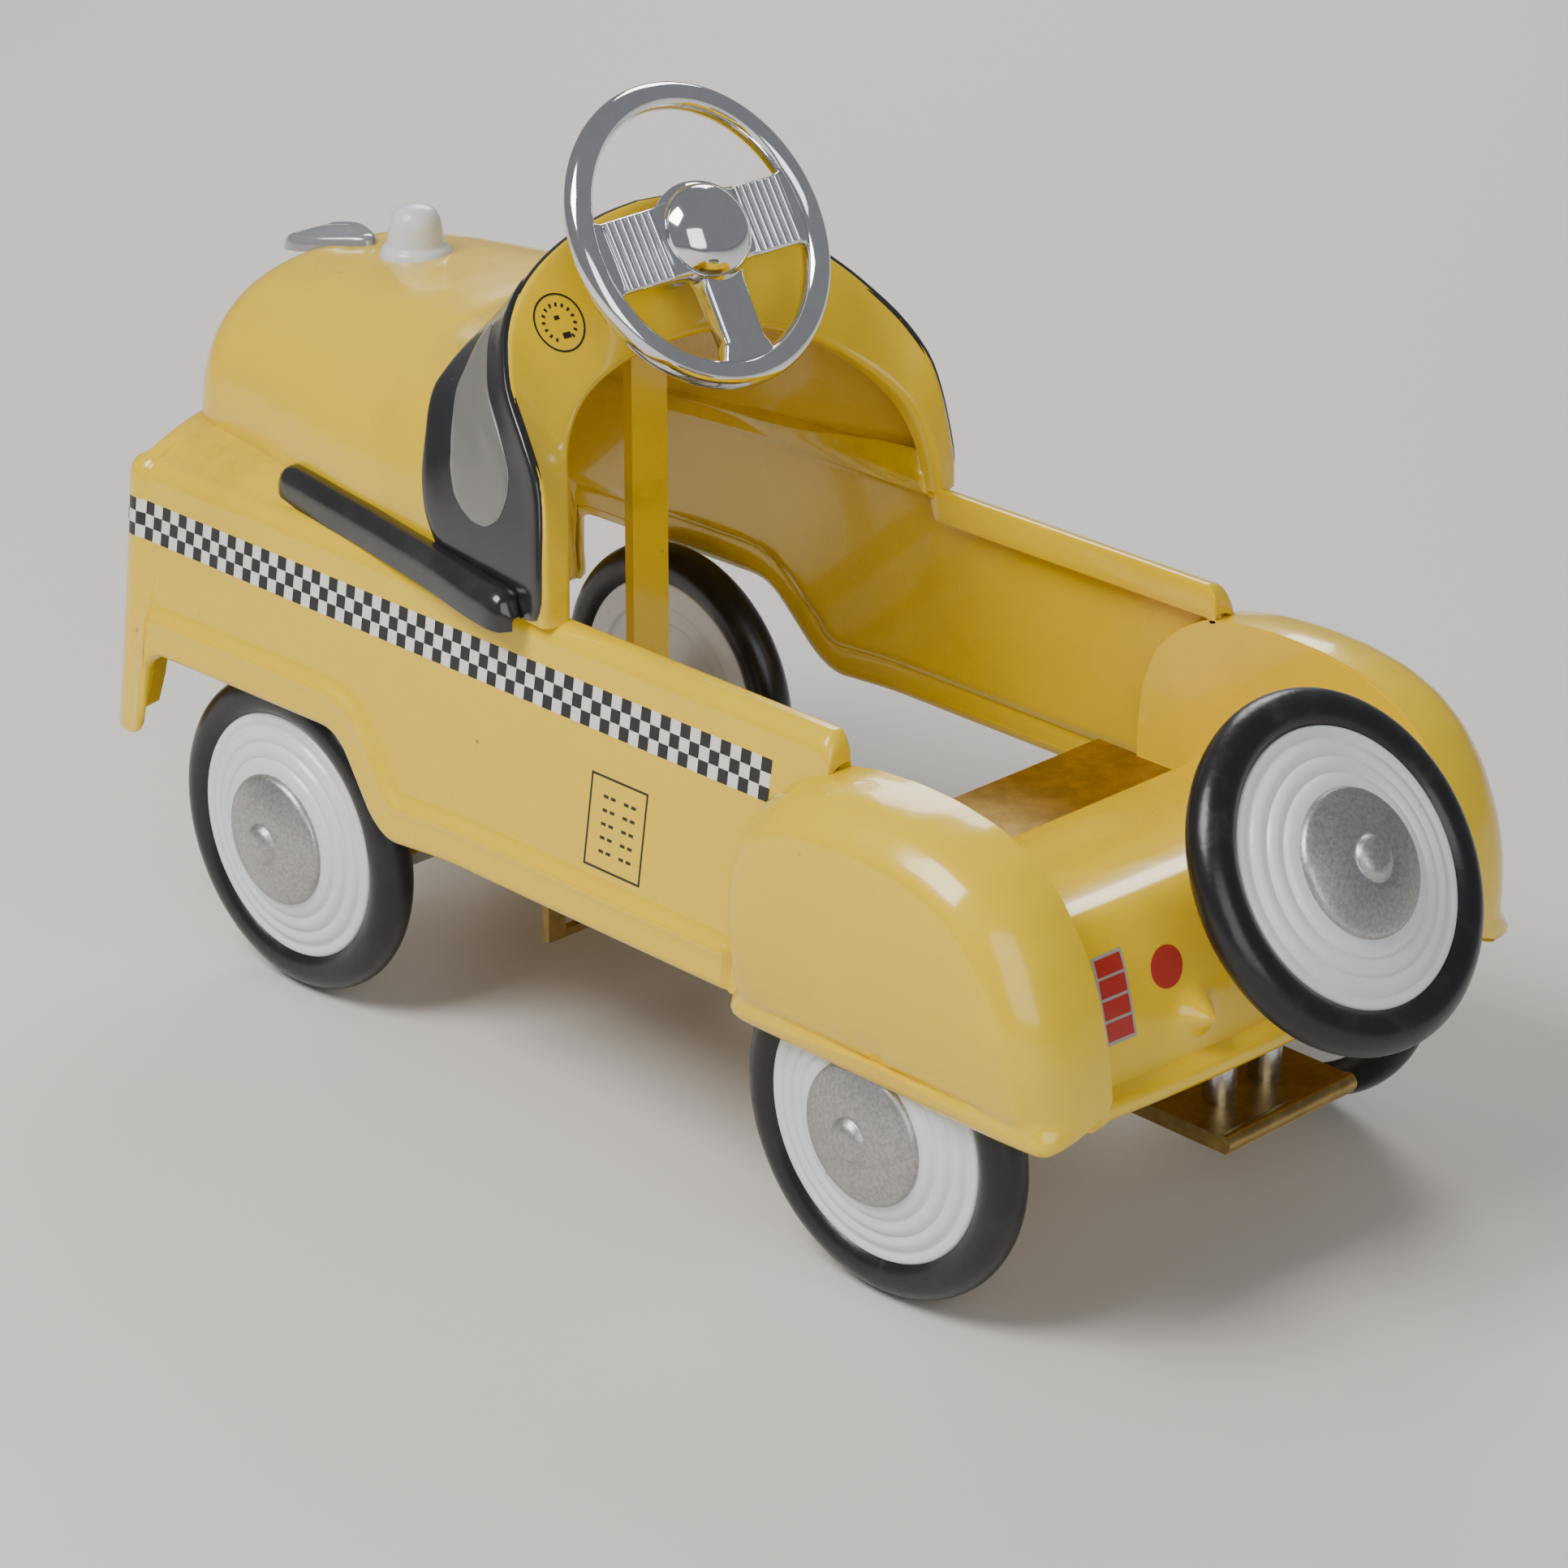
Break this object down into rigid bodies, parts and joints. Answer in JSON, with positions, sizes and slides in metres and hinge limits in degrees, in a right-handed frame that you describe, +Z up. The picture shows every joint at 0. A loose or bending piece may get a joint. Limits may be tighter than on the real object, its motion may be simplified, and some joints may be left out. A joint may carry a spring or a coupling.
{
  "type": "miniature pedal car",
  "caption": "Miniature die-cast pedal car: yellow taxi body with open cockpit, steered front wheels, crank-driven rear wheels and a tilted spare on the tail.",
  "frame": {"origin": "centre of the footprint, on the surface that the tyres stand on", "axes": "+Z up, the nose points along -Y, the car's left side is +X"},
  "size_m": [0.07, 0.1563, 0.0959],
  "materials": {
    "yellow_enamel": "gloss taxi-yellow enamel on a zinc casting",
    "black_enamel": "satin black enamel",
    "white_enamel": "satin white enamel",
    "silver_paint": "metallic silver paint with fine flake",
    "grey_paint": "silver-grey gloss paint",
    "chrome_plate": "bright chrome plate",
    "bright_zinc": "bright zinc-plated steel",
    "yellow_zinc": "yellow chromate zinc plate",
    "white_plastic": "gloss white plastic",
    "tyre_rubber": "smooth black rubber",
    "black_rubber": "ribbed black rubber"
  },
  "bodies": {
    "body": {"side_left": "yellow_enamel", "side_right": "yellow_enamel", "nose_panel": "yellow_enamel", "pontoon_left": "yellow_enamel", "pontoon_right": "yellow_enamel", "hood": "yellow_enamel", "cowl": "yellow_enamel", "dash_panel": "yellow_enamel", "cockpit_rim_left": "yellow_enamel", "cockpit_rim_right": "yellow_enamel", "rear_fender_left": "yellow_enamel", "rear_fender_right": "yellow_enamel", "tail_deck": "yellow_enamel", "seat_plate": "yellow_zinc", "hood_ornament": "grey_paint", "roof_light": "white_plastic", "duct_left": "black_enamel", "duct_right": "black_enamel", "dash_strip": "yellow_enamel", "rod_guide": "yellow_zinc", "column_bush": "bright_zinc", "column_hanger": "yellow_enamel", "front_beam": "yellow_zinc", "beam_saddle": "yellow_zinc", "kingpins": "bright_zinc", "rear_bracket": "yellow_zinc", "bracket_screws": "bright_zinc", "spare_stud": "bright_zinc", "spare_tyre": "tyre_rubber", "spare_rim": "white_enamel", "spare_hubcap": "silver_paint"},
    "steering": {"steering_wheel": "chrome_plate", "steering_column": "chrome_plate"},
    "drop_link": {"drop_link": "bright_zinc"},
    "knuckle_left": {"knuckle_left": "bright_zinc"},
    "knuckle_right": {"knuckle_right": "bright_zinc"},
    "tie_rod": {"tie_rod": "bright_zinc"},
    "wheel_front_left": {"tyre_front_left": "tyre_rubber", "rim_front_left": "white_enamel", "hubcap_front_left": "silver_paint"},
    "wheel_front_right": {"tyre_front_right": "tyre_rubber", "rim_front_right": "white_enamel", "hubcap_front_right": "silver_paint"},
    "rear_axle": {"crank_axle": "bright_zinc", "tyre_rear_left": "tyre_rubber", "rim_rear_left": "white_enamel", "hubcap_rear_left": "silver_paint", "tyre_rear_right": "tyre_rubber", "rim_rear_right": "white_enamel", "hubcap_rear_right": "silver_paint"},
    "pedal_rod_left": {"pedal_rod_left": "yellow_zinc", "pedal_left": "black_rubber"},
    "pedal_rod_right": {"pedal_rod_right": "yellow_zinc", "pedal_right": "black_rubber"}
  },
  "joints": [
    {"name": "steering_turn", "type": "hinge", "parent": "body", "child": "steering", "pos_m": [0, -0.01455, 0.0825], "axis": [0, 0.848, 0.5299], "range_deg": [-18, 18]},
    {"name": "drop_link_pivot", "type": "hinge", "parent": "steering", "child": "drop_link", "pos_m": [0, -0.04119, 0.06173], "axis": [0, 0.848, 0.5299], "range_deg": [-18, 18]},
    {"name": "kingpin_left_turn", "type": "hinge", "parent": "body", "child": "knuckle_left", "pos_m": [0.0205, -0.0467, 0.017], "axis": [0, 0, 1], "range_deg": [-9, 9]},
    {"name": "kingpin_right_turn", "type": "hinge", "parent": "body", "child": "knuckle_right", "pos_m": [-0.0205, -0.0467, 0.017], "axis": [0, 0, 1], "range_deg": [-9, 9]},
    {"name": "tie_rod_pivot", "type": "hinge", "parent": "knuckle_left", "child": "tie_rod", "pos_m": [0.0205, -0.0397, 0.0137], "axis": [0, 0, 1], "range_deg": [-9, 9]},
    {"name": "front_left_spin", "type": "hinge", "parent": "knuckle_left", "child": "wheel_front_left", "pos_m": [0.0284, -0.0467, 0.017], "axis": [1, 0, 0], "continuous": true},
    {"name": "front_right_spin", "type": "hinge", "parent": "knuckle_right", "child": "wheel_front_right", "pos_m": [-0.0284, -0.0467, 0.017], "axis": [1, 0, 0], "continuous": true},
    {"name": "rear_axle_spin", "type": "hinge", "parent": "body", "child": "rear_axle", "pos_m": [0, 0.0403, 0.017], "axis": [1, 0, 0], "continuous": true},
    {"name": "left_rod_pivot", "type": "hinge", "parent": "rear_axle", "child": "pedal_rod_left", "pos_m": [0.012, 0.0353, 0.017], "axis": [1, 0, 0], "continuous": true},
    {"name": "right_rod_pivot", "type": "hinge", "parent": "rear_axle", "child": "pedal_rod_right", "pos_m": [-0.012, 0.0453, 0.017], "axis": [1, 0, 0], "continuous": true}
  ],
  "couplings": [
    {"joint": "drop_link_pivot", "follows": "steering_turn", "ratio": -1},
    {"joint": "kingpin_left_turn", "follows": "steering_turn", "ratio": 0.5},
    {"joint": "kingpin_right_turn", "follows": "steering_turn", "ratio": 0.5},
    {"joint": "tie_rod_pivot", "follows": "steering_turn", "ratio": -0.5},
    {"joint": "left_rod_pivot", "follows": "rear_axle_spin", "ratio": -1},
    {"joint": "right_rod_pivot", "follows": "rear_axle_spin", "ratio": -1}
  ]
}
